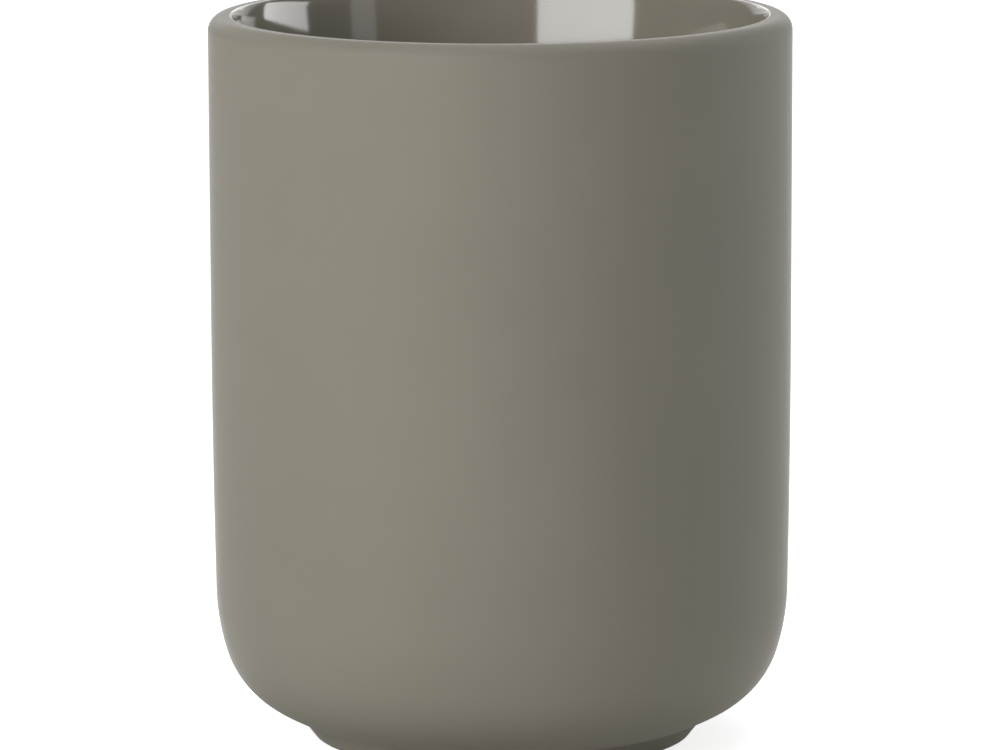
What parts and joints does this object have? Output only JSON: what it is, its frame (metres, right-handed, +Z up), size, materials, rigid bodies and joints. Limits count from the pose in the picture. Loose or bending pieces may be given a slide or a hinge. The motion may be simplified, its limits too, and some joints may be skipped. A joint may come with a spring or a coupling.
{
  "type": "toothbrush mug",
  "caption": "Straight-sided ceramic cup with a rounded lower corner and a low foot ring, matte outside and glossy inside, that holds toothbrushes upright.",
  "frame": {"origin": "centre of the foot, on the surface that the mug stands on", "axes": "+Z up along the mug's axis, towards its mouth; the mug is round, so +X and +Y are free"},
  "size_m": [0.082, 0.082, 0.103],
  "materials": {
    "stoneware": "unglazed slip-cast stoneware, wiped bare on the foot",
    "gloss_glaze": "taupe fired glaze, high gloss",
    "soft_touch_lacquer": "taupe soft-touch lacquer, dead matte, slightly silky at a low angle"
  },
  "bodies": {
    "root": {"stoneware_body": "stoneware", "interior_glaze": "gloss_glaze", "underside_glaze": "gloss_glaze", "soft_touch_coat": "soft_touch_lacquer"}
  },
  "joints": []
}
